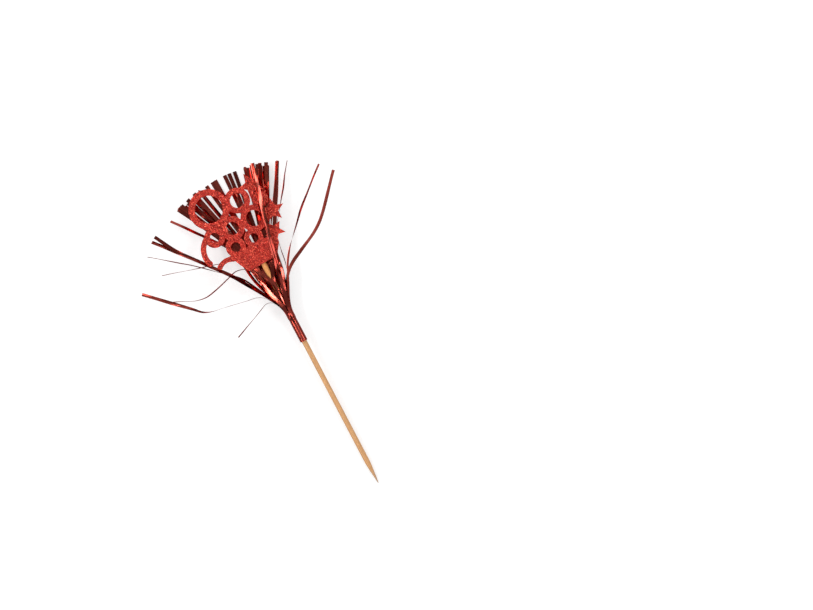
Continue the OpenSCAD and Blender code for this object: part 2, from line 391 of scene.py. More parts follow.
def flake_group() -> None:
    """Cells of glitter: each cell has its own tone, and a normal tipped its own way.

    The tip is the cell's random colour less a half, times the strength, added to the normal.
    The group puts out the tone, a mask of the gaps between cells, and the normal.
    """
    tree, get, taken = new_group(
        "flakes",
        {"Vector": "Vector", "Scale": "Float", "Tip": "Float"},
        {"Tone": "Float", "Gap": "Float", "Normal": "Vector"},
    )
    cell_map = {"Vector": get["Vector"], "Scale": get["Scale"]}
    cells = tree.add("ShaderNodeTexVoronoi", cell_map)
    edge = tree.add("ShaderNodeTexVoronoi", cell_map, feature="DISTANCE_TO_EDGE")
    centred = tree.vector("SUBTRACT", {0: cells.outputs["Color"], 1: (0.5, 0.5, 0.5)})
    tipped = tree.vector("SCALE", {0: centred.outputs[0], "Scale": get["Tip"]})
    face = tree.add("ShaderNodeNewGeometry")
    summed = tree.vector("ADD", {0: face.outputs["Normal"], 1: tipped.outputs[0]})
    tone = tree.add("ShaderNodeSeparateColor", {0: cells.outputs["Color"]})
    tree.fill(
        taken,
        {
            "Tone": tone.outputs[0],
            "Gap": tree.math("LESS_THAN", edge.outputs["Distance"], 0.06),
            "Normal": tree.vector("NORMALIZE", {0: summed.outputs[0]}).outputs[0],
        },
    )


@dataclass(frozen=True)
class Grain:
    """One use of the shared grain.

    Attributes:
        scale: Scale of the noise.
        contrast: Contrast round a half.
        stretch: Factors of the coordinates.
    """

    scale: float
    contrast: float
    stretch: Colour = (1.0, 1.0, 1.0)

    def on(self, tree: Tree, where: bpy.types.NodeSocket) -> bpy.types.NodeSocket:
        """Places the grain in a material.

        Args:
            tree: The material's tree.
            where: Coordinates.

        Returns:
            The grain's value, from 0 to 1.
        """
        inputs = {"Stretch": self.stretch, "Scale": self.scale, "Contrast": self.contrast}
        node = tree.add("ShaderNodeGroup", node_tree=bpy.data.node_groups["grain"])
        return tree.fill(node, {"Vector": where, **inputs}).outputs["Value"]


@dataclass(frozen=True)
class Finish:
    """A named finish, made once as a Blender material."""

    name: str

    def start(self) -> tuple[Tree, bpy.types.Node, bpy.types.Material]:
        """An empty material with its shader.

        Returns:
            The tree, the Principled BSDF and the material.
        """
        material = bpy.data.materials.new(self.name)
        material.use_nodes = True
        return Tree(material.node_tree), material.node_tree.nodes["Principled BSDF"], material


@dataclass(frozen=True)
class BambooFinish(Finish):
    """Bare sanded bamboo: long fibres, warm patches and a greyer point.

    Attributes:
        pale: Colour of the soft wood.
        dark: Colour of the fibres.
        warm: Colour of the patches.
        point: Colour of the sharpened point.
        inner: Painted reflection of the red film: a more orange colour on the wood between the strips.
        point_len: Distance from the tip over which the point's colour fades.
        painted_film_glow_len: Distance over which that painted reflection comes in.
        painted_film_glow_from: Where it starts, counted in those distances.
        fibres: Grain of the fibres.
        patches: Grain of the patches.
        pores: Grain of the pores.
    """

    pale: Colour = (0.96, 0.50, 0.21)
    dark: Colour = (0.53, 0.265, 0.11)
    warm: Colour = (0.80, 0.50, 0.25)
    point: Colour = (0.52, 0.35, 0.25)
    inner: Colour = (0.95, 0.37, 0.10)
    point_len: float = 9.0
    painted_film_glow_len: float = 12.0
    painted_film_glow_from: float = 9.0
    fibres: Grain = Grain(1.6, 2.2, (1.7, 0.045, 1.0))
    patches: Grain = Grain(1.0, 1.8, (0.25, 0.05, 1.0))
    pores: Grain = Grain(1.3, 5.0, (9.0, 0.5, 1.0))

    def material(self) -> bpy.types.Material:
        """Fibres are noise stretched along the skewer, read from its own surface map.

        Returns:
            The material.
        """
        tree, shader, material = self.start()
        where = tree.surface()
        fibres = self.fibres.on(tree, where)
        wood = tree.blend(fibres, self.dark, self.pale)
        patches = tree.math("MULTIPLY", self.patches.on(tree, where), 0.3)
        warm = tree.blend(patches, wood, self.warm)
        along = tree.add("ShaderNodeSeparateXYZ", {0: where}).outputs[1]
        from_tip = tree.math("DIVIDE", along, self.point_len)
        near_tip = tree.math("SUBTRACT", 1.0, from_tip, clamp=True)
        pointed = tree.blend(tree.math("MULTIPLY", near_tip, 0.75), warm, self.point)
        # Painted reflection: a little past the header, the wood is blended towards an orange that
        # stands for light from the red film.
        inward = tree.math("DIVIDE", along, self.painted_film_glow_len)
        past = tree.math("SUBTRACT", inward, self.painted_film_glow_from, clamp=True)
        height = tree.math("ADD", fibres, tree.math("MULTIPLY", self.pores.on(tree, where), 0.4))
        dressed = {
            "Base Color": tree.blend(tree.math("MULTIPLY", past, 0.7), pointed, self.inner),
            "Roughness": tree.line(fibres, -0.14, 0.62),
            "Normal": tree.bump(height, 0.35, 0.00006),
            "Specular IOR Level": 0.35,
        }
        tree.fill(shader, dressed)
        return material


@dataclass(frozen=True)
class FilmFinish(Finish):
    """Mirror-bright metallised film, lacquered red, with fine scratches and soft creases.

    Attributes:
        deep: Painted shade: the darker red of film that shows dark reflections.
        bright: Painted highlight: the brighter red of film that shows bright reflections.
        worn: Colour of the scratches.
        rim: Tint of the metal seen at a glancing angle.
        creases: Grain of the creases.
        scratches: Grain of the scratches.
    """

    deep: Colour = (0.16, 0.018, 0.013)
    bright: Colour = (0.66, 0.085, 0.050)
    worn: Colour = (0.85, 0.16, 0.13)
    rim: Colour = (0.75, 0.22, 0.18)
    creases: Grain = Grain(1.0, 1.8, (0.32, 0.10, 1.0))
    scratches: Grain = Grain(1.4, 3.0, (7.0, 0.25, 1.0))

    def material(self) -> bpy.types.Material:
        """The mesh's tone, which carries painted shade and painted highlight, sets colour and lacquer,
        and creases are a low bump on its surface map.

        Returns:
            The material.
        """
        tree, shader, material = self.start()
        where, tone = tree.surface(), tree.tone()
        creases = self.creases.on(tree, where)
        scratches = self.scratches.on(tree, where)
        # Painted shade and highlight: the tone blends the one film from a dark red to a bright red,
        # standing in for its reflections; the lacquer follows the tone too.
        red = tree.blend(tone, self.deep, self.bright)
        height = tree.math("ADD", creases, tree.math("MULTIPLY", scratches, 0.03))
        dressed = {
            "Base Color": tree.blend(tree.math("MULTIPLY", scratches, 0.12), red, self.worn),
            "Roughness": tree.line(scratches, 0.08, 0.05),
            "Normal": tree.bump(height, 0.5, 0.00016),
            "Metallic": 1.0,
            "Specular Tint": (*self.rim, 1.0),
            "Coat Weight": tree.line(tone, 0.6, 0.05),
            "Coat Roughness": 0.05,
        }
        tree.fill(shader, dressed)
        return material


@dataclass(frozen=True)
class GlitterFinish(Finish):
    """Red glitter over a red ground on the upper face, plain red paper on the edges and back.

    Attributes:
        low: Darkest flake: painted shade, a flake that reflects nothing bright.
        middle: Most flakes.
        high: Brightest flake: painted glint.
        paper: Edges and back of the card.
        flake_scale: Scale of the ground's cells.
        tip: Strength of the tip of each cell's normal.
        upward: Least upward part of the normal on the glittered face.
        fibres: Grain of the paper.
        patches: Grain of the glitter's darker and brighter patches, painted shade and painted glints.
    """

    low: Colour = (0.11, 0.003, 0.002)
    middle: Colour = (0.50, 0.018, 0.010)
    high: Colour = (1.0, 0.15, 0.085)
    paper: Colour = (0.62, 0.07, 0.05)
    flake_scale: float = 3600.0
    tip: float = 0.55
    upward: float = 0.9
    fibres: Grain = Grain(2400.0, 1.6)
    patches: Grain = Grain(1800.0, 4.5)

    @property
    def stops(self) -> dict[float, Colour]:
        """Colours of the flakes by their tone, from painted shade through the glitter's red to painted
        glint.
        """
        return {0.16: self.low, 0.42: self.middle, 0.60: self.middle, 0.88: self.high}

    def flakes(self) -> bpy.types.Material:
        """The loose flakes, which take their colour from the tone that the mesh carries: painted shade
        and painted glints about the glitter's red.

        Returns:
            The material.
        """
        tree, shader, material = self.start()
        dressed = {
            "Base Color": tree.ramp(tree.tone(), self.stops),
            "Metallic": 0.4,
            "Roughness": 0.30,
            "Specular IOR Level": 0.25,
        }
        tree.fill(shader, dressed)
        return material

    def sheet(self) -> bpy.types.Material:
        """The card: cells of glitter where it faces up, and paper elsewhere.

        Returns:
            The material.
        """
        tree, shader, material = self.start()
        where = tree.add("ShaderNodeTexCoord").outputs
        group = tree.add("ShaderNodeGroup", node_tree=bpy.data.node_groups["flakes"])
        ground = {"Vector": where["Object"], "Scale": self.flake_scale, "Tip": self.tip}
        flakes = tree.fill(group, ground).outputs
        face = tree.add("ShaderNodeSeparateXYZ", {0: where["Normal"]}).outputs[2]
        upper = tree.math("GREATER_THAN", face, self.upward)
        fibres = self.fibres.on(tree, where["Object"])
        patches = self.patches.on(tree, where["Object"])
        # Painted shade and painted glints: tones and patches pick dark and bright colours of the one
        # glitter, on top of the real glints of the tipped normals, and the gaps between cells are
        # darkened half way to the darkest flake as painted shade.
        shared = tree.math("MULTIPLY", tree.math("ADD", patches, flakes["Tone"]), 0.5)
        gaps = tree.math("MULTIPLY", flakes["Gap"], 0.5)
        glitter = tree.blend(gaps, tree.ramp(shared, self.stops), self.low)
        paper = tree.blend(fibres, tuple(0.86 * c for c in self.paper), self.paper)
        plain = tree.add("ShaderNodeNewGeometry").outputs["Normal"]
        normals = {0: upper, 4: plain, 5: flakes["Normal"]}
        dressed = {
            "Base Color": tree.blend(upper, paper, glitter),
            "Metallic": tree.math("MULTIPLY", upper, 0.25),
            "Roughness": tree.line(upper, -0.4, 0.78),
            "Normal": tree.add("ShaderNodeMix", normals, data_type="VECTOR").outputs[1],
            "Specular IOR Level": 0.25,
        }
        tree.fill(shader, dressed)
        return material


@dataclass(frozen=True)
class GlueFinish(Finish):
    """Set hot-melt glue: milky, soft and a little glossy.

    Attributes:
        colour: Colour of the glue.
        yellowed: Factors of the colour in the yellower patches.
        clouds: Grain of the patches.
    """

    colour: Colour = (0.80, 0.76, 0.66)
    yellowed: Colour = (1.0, 0.92, 0.74)
    clouds: Grain = Grain(420.0, 1.6)

    def material(self) -> bpy.types.Material:
        """Cloudy patches tint the colour, and the surface is faintly wavy.

        Returns:
            The material.
        """
        tree, shader, material = self.start()
        cloud = self.clouds.on(tree, tree.add("ShaderNodeTexCoord").outputs["Object"])
        yellow = tuple(c * f for c, f in zip(self.colour, self.yellowed))
        dressed = {
            "Base Color": tree.blend(cloud, yellow, self.colour),
            "Roughness": tree.line(cloud, 0.15, 0.25),
            "Normal": tree.bump(cloud, 0.4, 0.0002),
            "Subsurface Weight": 0.35,
            "Subsurface Radius": (0.0012, 0.0010, 0.0007),
            "Subsurface Scale": 1.0,
        }
        tree.fill(shader, dressed)
        return material


@dataclass
class Skewer:
    """The bamboo skewer: a round stick, sharpened at the tip and cut square at the other end.

    Attributes:
        diameter: Diameter of the stick.
        length: Its whole length.
        point_len: Length of the sharpened point.
        tip_d: Diameter of the blunted tip.
        chamfer: Chamfer of the cut end.
        fibres: Number of raised fibres round it.
        relief: Height of the fibres.
        swell: How much the point swells, as a share of its length.
        around: Points in each ring.
        rings: Rings along it.
        point_rings: How many of them are on the point.
        point_growth: Power that makes the point's rings closer at the tip.
    """

    diameter: float = 3.0
    length: float = 150.0
    point_len: float = 13.0
    tip_d: float = 0.4
    chamfer: float = 0.25
    fibres: int = 23
    relief: float = 0.016
    swell: float = 0.05
    around: int = 92
    rings: int = 299
    point_rings: int = 60
    point_growth: float = 1.3

    @property
    def radius(self) -> float:
        """Radius of the stick."""
        return self.diameter / 2

    def profile(self, y: Array) -> Array:
        """Radius at distances from the tip.

        The point is a cone from the tip's radius that swells a little before the shoulder, and
        the last stretch narrows by the chamfer.

        Args:
            y: Distances from the tip.

        Returns:
            Radii.
        """
        share = np.clip(y / self.point_len, 0.0, 1.0)
        cone = mix(self.tip_d / 2, self.radius, share + self.swell * np.sin(math.pi * share))
        end = np.clip((y - (self.length - self.chamfer)) / self.chamfer, 0.0, 1.0)
        return np.minimum(cone, self.radius) - end * self.chamfer

    def build(self, lie: Lie, finish: BambooFinish) -> bpy.types.Object:
        """Rings of points whose radius is the profile less the fibres' relief.

        The relief is half of one less the weighted mean of two cosines round the stick, with a
        broad third one added. They drift slowly along it, and their sum is never negative, so
        that no fibre stands above the true diameter.

        Args:
            lie: Where the pick lies.
            finish: The bamboo's finish.

        Returns:
            The skewer's object.
        """
        near = self.point_len * (np.arange(self.point_rings) / self.point_rings) ** self.point_growth
        end = self.length - self.chamfer * np.array([0.66, 0.33, 0.0])
        far_rings = self.rings - len(near) - len(end)
        far = np.linspace(self.point_len, self.length - self.chamfer, far_rings)
        y = np.concatenate([near, far, end])
        turn = np.arange(self.around) * 2 * math.pi / self.around
        along, angle = np.meshgrid(y, turn, indexing="ij")
        drift = 0.9 * np.sin(along / 27.0) + 0.5 * np.sin(along / 9.5 + 1.0)
        wave = 0.6 * np.cos(self.fibres * angle + drift) + 0.4 * np.cos(
            (self.fibres * 2 + 1) * angle - 1.7 * drift
        )
        broad = 0.5 + 0.5 * np.cos(3 * angle + along / 31.0)
        sunk = self.relief * (0.5 - 0.5 * wave) + 0.6 * self.relief * broad
        r = self.profile(along) - sunk * np.minimum(1.0, self.profile(along) / self.radius)
        points = np.stack([r * np.cos(angle), along, -r * np.sin(angle)], axis=-1)
        uv = np.stack([angle * self.radius, along], axis=-1)
        shell = Shell("bamboo_skewer_shaft")
        tone = np.full(along.shape, 0.5)
        shell.add(lie.place(points), grid_faces(len(y), self.around), uv, tone)
        last = (len(y) - 1) * self.around
        self.close(shell, lie, 0.0, 0, backwards=True)
        self.close(shell, lie, self.length, last, backwards=False)
        made = shell.piece(finish.material(), "root")
        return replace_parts(made, "bamboo_skewer")

    def close(self, shell: Shell, lie: Lie, y: float, ring: int, backwards: bool) -> None:
        """Closes an end with a fan round a point on the axis.

        Args:
            shell: The mesh in the making.
            lie: Where the pick lies.
            y: Distance of the end from the tip.
            ring: Number of the first point of the end ring.
            backwards: Whether the fan faces the tip.
        """
        pole = shell.count
        j = np.arange(self.around)
        on = (j + 1) % self.around
        hub = np.full(self.around, pole)
        fan = np.stack([ring + on, ring + j, hub] if backwards else [ring + j, ring + on, hub], axis=-1)
        centre = lie.place(np.array([[0.0, y, 0.0]]))
        shell.add(centre, fan - pole, np.array([[0.0, y]]), np.array([0.5]))


class Kind(Enum):
    """Which way the strips of a stack go."""

    SIDE = "side"
    UPPER = "upper"
    LOWER = "lower"


@dataclass(frozen=True)
class Spread:
    """How the even strips of a stack spread, from the innermost layer to the outermost.

    Attributes:
        heading: Innermost heading, in degrees.
        fan: Outermost heading, as a share of the fan's angle.
        rises: Innermost and outermost rise, in degrees.
        uneven: How much neighbours differ in heading, in degrees.
        roll_from: Distance at which the roll starts.
    """

    heading: float
    fan: float
    rises: tuple[float, float]
    uneven: float
    roll_from: float


SPREADS: dict[Kind, Spread] = {
    Kind.SIDE: Spread(11, 1.0, (-5, 3), 2, 36),
    Kind.UPPER: Spread(14, 0.72, (-4.4, -3.2), 1.2, 8),
    Kind.LOWER: Spread(1, 0.55, (-7, -13), 1.2, 2),
}


@dataclass(frozen=True)
class Stretch:
    """A stretch of a strip or of the header over which something comes in.

    Attributes:
        start: Where it starts.
        length: How long it is.
    """

    start: float
    length: float

    def share(self, s: Array) -> Array:
        """Share that has come in at each place, eased from 0 to 1."""
        return ease((s - self.start) / self.length)


@dataclass(frozen=True)
class Course:
    """How one strip runs: headings and rises from the skewer's direction, in degrees.

    Attributes:
        first: Heading after the flare.
        bend_1: Distance to the first bend.
        second: Heading after the first bend.
        bend_2: Distance to the second bend.
        third: Heading after the second bend.
        rise: Rise from the skewer's direction.
        rise_from: Distance at which the rise starts.
        roll: Roll of the strip's width.
        roll_from: Distance at which the roll starts.
        share: Share of the full length.
        bend_len: Length of both bends.
        steps: Stretches of the middle line.
        tone: Painted tone of the film, for shade or highlight, or none where it goes by the strip's
            number.
        peel: Roll on the first stretch, in degrees.
        painted_shade_len: Distance over which the film keeps the painted shade of the roll.
    """

    first: float
    bend_1: float
    second: float
    bend_2: float
    third: float
    rise: float
    rise_from: float
    roll: float
    roll_from: float
    share: float = 1.0
    bend_len: float = 9.0
    steps: int = 18
    tone: float | None = None
    peel: float = 0.0
    painted_shade_len: float = 2.0


# Single strips that go their own way, by flat and by layer from outside.
# A stray's given tone paints shade or highlight on it, and its shade length sets how far the painted
# shade of the roll lasts.
STRAYS: dict[tuple[int, int], Course] = {
    (3, 0): Course(-34, 14, -80, 46, -46, 4, 0, 52, 40, 1, 11, tone=0.5),
    (3, 1): Course(-36, 10, -114, 34, -112, 8, 0, 12, 4, 0.46, tone=0.0),
    (3, 2): Course(-30, 30, -39, 56, -40, 0, 0, 50, 12, 1, 16, tone=0.35, peel=20),
    (3, 3): Course(-30, 30, -39, 66, -28, 0, 0, 58, 16, 1, 16, tone=0.15, peel=20),
    (3, 4): Course(-26, 26, -48, 56, -52, 3, 0, 6, 30, 1, 16, tone=0.1, peel=20),
    (2, 0): Course(-9, 31, -74, 56, -74, -4, 0, 48, 10, 1, 18, tone=0.2),
    (2, 1): Course(-15, 29, -106, 57, -66, -4.4, 0, 44, 10, 1, 18, tone=0.2),
    (4, 0): Course(-24, 18, -7, 42, -38, -3, 0, -24, 10, 1, 16),
    (0, 0): Course(22, 14, 64, 46, 42, 5, 0, 44, 14, 1, 22, peel=26),
    (0, 1): Course(26, 25, 44, 53, 50, 6, 0, -38, 30, 1, 18, peel=26),
    (1, 0): Course(13, 30, 14, 56, 15, 3.6, 0, 24, 6, tone=1.0, painted_shade_len=38),
    (1, 1): Course(15, 24, 10, 60, 19, 4, 0, -48, 8, tone=0.3),
    (1, 7): Course(-5, 16, 21, 50, 24, -11, 22, 30, 0),
    (2, 6): Course(5, 16, -23.5, 50, -20, -11, 22, -30, 0),
}


@dataclass
class Fringe:
    """The fringe: a header wound round the skewer, and the strips that spread from it.

    Attributes:
        stick_r: Radius of the skewer.
        header_start: Distance from the tip to the header.
        header_len: Width of the header.
        film_t: Thickness of the film.
        wind_pitch: Thickness of each turn with its glue.
        strip_w: Width of a strip.
        strip_len: Length of a strip.
        flats: Flats of the roll, each with a stack of strips.
        layers: Strips in each stack.
        fan_angle: Heading of the outermost strips at their tips.
        flare_len: Length over which a strip bends away.
        collar_len: Length over which the strips stay pressed together.
        blade_in: How far within that length they start to part.
        layer_gap: Gap between the strips of a stack.
        turn_shares: Shares of an even strip's heading after the flare and after each bend.
        bends_at: Distances to an even strip's bends.
        bends_vary: How much those distances differ from strip to strip.
        uneven_rise: How much the outer side strips differ in rise, in degrees.
        side_rolls: Least and largest roll of the side strips, in degrees.
        uneven_roll: How much the upper strips differ in roll, in degrees.
        bend_len: Length of an even strip's bends.
        roll_len: Length over which a strip rolls.
        even_steps: Stretches of an even strip.
        step_growth: Power that makes the stretches longer further out.
        stations: Cross-sections along each strip.
        root_stations: Number of equal steps between them on the root.
        across: Points across each face of a strip.
        sway_in: Where the wobble and ripple come in.
        wobble: Roll that comes and goes along a strip, in degrees.
        twist_lens: Lengths of its two twists, for a turn of one radian.
        calm: Share of the wobble and ripple that a stray strip has.
        stray_roll: Roll of a stray strip, in shares of its wobble.
        ripple: Height of the waves along a strip.
        wave_lens: Lengths of its two waves, for one radian.
        peel_in: Where a stray strip's peel comes in.
        peel_out: Where it goes again.
        open_len: Length over which a strip's section opens flat.
        curl: Largest curvature across a strip's outer part, in radians a millimetre.
        curl_in: Where the full curl comes in.
        curl_least: Share of the curl before that.
        painted_root_shade: Painted shade: tone of the strips at the roll.
        painted_reflection_tones: Darkest and brightest painted reflection tone of a strip that has none
            given.
        tone_len: Length over which a strip goes from the painted shade of the roll to its own tone.
        painted_shade_right: How much further the painted shade lasts on the right of the sheaf.
        painted_light_in: Where a painted highlight comes in on strips on the left of the sheaf.
        painted_light_out: Where they go back to their own tone.
        header_points: Points round the header, along its outer wall and up its lower rim.
        creases: Number of creases of the header, halved.
        crease_turn: Angle by which they are shifted round the header, in radians.
        crease_depth: Depth of the creases.
        crease_mean: Share of a crease that lies within the plain wall.
        fine_creases: Number and depth of the fine ones between them.
        painted_crease_tones: Tone in a valley, painted shade, and on a ridge top, painted highlight.
        clear: How far the header's bore stands off the skewer.
        lap_in: Where the outer end of the film steps up, as an angle in radians.
        lap_out: Where it has sunk in again.
        rim_len: Length of the narrower upper rim.
        rim_in: How much narrower it is.
    """

    stick_r: float = 1.5
    header_start: float = 90.6
    header_len: float = 13.1
    film_t: float = 0.04
    wind_pitch: float = 0.07
    strip_w: float = 2.2
    strip_len: float = 91.0
    flats: int = 6
    layers: int = 8
    fan_angle: float = 42.0
    flare_len: float = 14.0
    collar_len: float = 3.0
    blade_in: float = 0.6
    layer_gap: float = 0.012
    turn_shares: tuple[float, float, float] = (0.75, 0.36, 1.12)
    bends_at: tuple[float, float] = (17.0, 42.0)
    bends_vary: tuple[float, float] = (3.0, 5.0)
    uneven_rise: float = 1.5
    side_rolls: tuple[float, float] = (8.0, 60.0)
    uneven_roll: float = 8.0
    bend_len: float = 9.0
    roll_len: float = 30.0
    even_steps: int = 8
    step_growth: float = 1.25
    stations: int = 100
    root_stations: int = 12
    across: int = 5
    sway_in: Stretch = Stretch(5.0, 24.0)
    wobble: float = 7.0
    twist_lens: tuple[float, float] = (6.0, 2.9)
    calm: float = 0.5
    stray_roll: float = 1.5
    ripple: float = 0.14
    wave_lens: tuple[float, float] = (3.4, 1.7)
    peel_in: Stretch = Stretch(2.0, 8.0)
    peel_out: Stretch = Stretch(30.0, 20.0)
    open_len: float = 7.0
    curl: float = 0.13
    curl_in: Stretch = Stretch(30.0, 20.0)
    curl_least: float = 0.3
    painted_root_shade: float = 0.15
    painted_reflection_tones: tuple[float, float] = (0.2, 1.0)
    tone_len: float = 18.0
    painted_shade_right: float = 10.0
    painted_light_in: Stretch = Stretch(4.0, 6.0)
    painted_light_out: Stretch = Stretch(32.0, 12.0)
    header_points: tuple[int, int, int] = (192, 36, 26)
    creases: float = 4.5
    crease_turn: float = 0.59
    crease_depth: float = 0.09
    crease_mean: float = 0.85
    fine_creases: tuple[int, float] = (19, 0.004)
    painted_crease_tones: tuple[float, float] = (0.04, 0.85)
    clear: float = 0.01
    lap_in: Stretch = Stretch(0.6, 0.05)
    lap_out: Stretch = Stretch(5.7, 0.25)
    rim_len: float = 1.4
    rim_in: float = 0.05

    @property
    def header_end(self) -> float:
        """Distance from the tip to the end of the header."""
        return self.header_start + self.header_len

    @property
    def root_len(self) -> float:
        """Length from the header to where the strips part."""
        return self.collar_len - self.blade_in

    @property
    def header_r(self) -> float:
        """Radius of the wound header: that of the skewer with the film's wound area added."""
        wound = self.flats * self.layers * self.strip_w * self.wind_pitch / math.pi
        return math.sqrt(self.stick_r**2 + wound)

    def wound_r(self, layer: int) -> float:
        """Distance of a layer's strips from the axis where they leave the header."""
        return mix(self.stick_r, self.header_r - self.film_t, (layer + 0.5) / self.layers)

    def number(self, flat: int, layer: int) -> int:
        """Number of a strip, counted round the roll and outwards."""
        return flat + self.flats * layer

    def azimuth(self, flat: int) -> float:
        """Direction of a flat from the axis, in degrees from the right side over the top."""
        return 360 / self.flats * flat

    def flat_r(self, layer: int) -> float:
        """Distance of a layer's strips from the axis where they part."""
        inner = self.strip_w / 2 / math.tan(math.pi / self.flats) + self.film_t
        return inner + layer * (self.film_t + self.layer_gap)

    def even(self, i: int, turn: float, rise: float, roll: float, roll_from: float) -> Course:
        """The course of an even strip, whose heading swings out, in and out again.

        Args:
            i: Number of the strip.
            turn: The heading that it swings about.
            rise: Its rise.
            roll: Its roll.
            roll_from: Where the roll starts.

        Returns:
            The course.
        """
        first, second, third = (turn * share for share in self.turn_shares)
        bend_1 = self.bends_at[0] + self.bends_vary[0] * vary(i, 1)
        bend_2 = self.bends_at[1] + self.bends_vary[1] * vary(i, 5)
        return Course(
            first, bend_1, second, bend_2, third,
            rise, 0, roll, roll_from, 1.0, self.bend_len, self.even_steps,
        )

    def course(self, flat: int, layer: int) -> Course:
        """The course of one strip, by its place in the roll.

        Args:
            flat: Number of the flat, counted from the right side over the top.
            layer: Number of the layer, counted from the skewer.

        Returns:
            The course.
        """
        stray = STRAYS.get((flat, self.layers - 1 - layer))
        if stray:
            return stray
        i, out = self.number(flat, layer), layer / (self.layers - 1)
        way = 1 if flat in (0, 1, 5) else -1
        kind = (Kind.SIDE, Kind.UPPER, Kind.UPPER, Kind.SIDE, Kind.LOWER, Kind.LOWER)[flat]
        spread, level = SPREADS[kind], way * 180 / self.flats
        turn = way * mix(spread.heading, self.fan_angle * spread.fan, out) + spread.uneven * vary(i, 2)
        if kind is Kind.SIDE:
            rise = mix(*spread.rises, out * out) + self.uneven_rise * out * vary(i, 3)
            roll = mix(*self.side_rolls, 0.5 + 0.5 * vary(i, 4))
        else:
            rise = mix(*spread.rises, out)
            roll = level + self.uneven_roll * vary(i, 3) if kind is Kind.UPPER else -level
        return self.even(i, turn, rise, roll, spread.roll_from)

    def heading(self, q: Course, s: Array) -> Array:
        """Heading at distances along a strip, in radians: eased from one value to the next."""
        return np.radians(
            q.first * ease(s / self.flare_len)
            + (q.second - q.first) * ease((s - q.bend_1) / q.bend_len)
            + (q.third - q.second) * ease((s - q.bend_2) / q.bend_len)
        )

    def climb(self, q: Course, s: Array, tilt: float) -> Array:
        """Rise at distances along a strip, in radians, with the skewer's own tilt."""
        return np.radians(tilt + q.rise * ease((s - q.rise_from) / self.flare_len))

    def ahead(self, q: Course, s: Array, tilt: float) -> Array:
        """Direction of a strip at distances along it."""
        a, e = self.heading(q, s), self.climb(q, s, tilt)
        return np.stack([np.sin(a) * np.cos(e), np.cos(a) * np.cos(e), np.sin(e)], axis=-1)

    def side(self, q: Course, s: Array, tilt: float, azimuth: float, extra: Any = 0.0) -> Array:
        """Direction of a strip's width at distances along it.

        Args:
            q: The strip's course.
            s: Distances along it.
            tilt: The skewer's tilt, in degrees.
            azimuth: Azimuth of the strip's flat, in degrees.
            extra: Roll that is added, in degrees.

        Returns:
            Unit vectors, square to the direction.
        """
        a, e = self.heading(q, s), self.climb(q, s, tilt)
        r = np.radians(azimuth + 90 + q.roll * ease((s - q.roll_from) / self.roll_len) + extra)
        level = np.stack([np.cos(a), -np.sin(a), np.zeros_like(a)], axis=-1)
        upright = np.stack([-np.sin(a) * np.sin(e), -np.cos(a) * np.sin(e), np.cos(e)], axis=-1)
        return np.cos(r)[..., None] * level + np.sin(r)[..., None] * upright

    def route(self, lie: Lie, flat: int, layer: int, q: Course) -> tuple[Array, Array]:
        """Main points of a strip's middle line, as the solid model has them.

        From the collar on, each point is the last one moved on by a stretch in the direction at
        the stretch's middle, and lifted where the strip would reach below the surface.

        Args:
            lie: Where the pick lies.
            flat: Number of the flat.
            layer: Number of the layer.
            q: The strip's course.

        Returns:
            Distances along the strip, and points in the row frame.
        """
        azimuth = self.azimuth(flat)
        turn, r = math.radians(azimuth), self.flat_r(layer)
        y = self.header_end + self.root_len
        long = (self.strip_len - self.root_len) * q.share
        at = long * (np.arange(q.steps + 1) / q.steps) ** self.step_growth
        lowest = self.film_t * (0.6 + 2.4 * (self.layers - 1 - layer) + 1.2 * (flat % 2))
        points = [lie.place(np.array([r * math.cos(turn), y, r * math.sin(turn)]))]
        for near, far in zip(at[:-1], at[1:]):
            step = points[-1] + (far - near) * self.ahead(q, np.array((near + far) / 2), lie.tilt)
            width = self.side(q, np.array(far), lie.tilt, azimuth)
            step[2] = max(step[2], lowest + abs(width[2]) * self.strip_w / 2)
            points.append(step)
        return at, np.array(points)

    def middle(self, lie: Lie, flat: int, layer: int, q: Course) -> tuple[Array, Array]:
        """Middle line of a strip, from between the turns of the header to its cut end.

        Over the root it goes from its place in the header out to its flat. From there on it is
        a cubic through the main points, with the slopes that their neighbours give.

        Args:
            lie: Where the pick lies.
            flat: Number of the flat.
            layer: Number of the layer.
            q: The strip's course.

        Returns:
            Points in the row frame, and their distances along the strip.
        """
        turn = math.radians(self.azimuth(flat))
        at, main = self.route(lie, flat, layer, q)
        root = np.linspace(-self.root_len, 0.0, self.root_stations + 1)
        s = np.linspace(0.0, at[-1], self.stations - self.root_stations)[1:]
        r = mix(self.wound_r(layer), self.flat_r(layer), ease(root / self.root_len + 1.0))
        y = self.header_end + self.root_len + root
        line = lie.place(np.stack([r * math.cos(turn), y, r * math.sin(turn)], axis=-1))
        slope = np.gradient(main, at, axis=0)
        slope[0] = unit(line[-1] - line[-2])
        k = np.clip(np.searchsorted(at, s, side="right") - 1, 0, len(at) - 2)
        h = (at[k + 1] - at[k])[:, None]
        u = (s - at[k])[:, None] / h
        curve = (
            (1 + 2 * u) * (1 - u) ** 2 * main[k]
            + u * (1 - u) ** 2 * h * slope[k]
            + u * u * (3 - 2 * u) * main[k + 1]
            + u * u * (u - 1) * h * slope[k + 1]
        )
        return np.concatenate([line, curve]), np.concatenate([root, s])

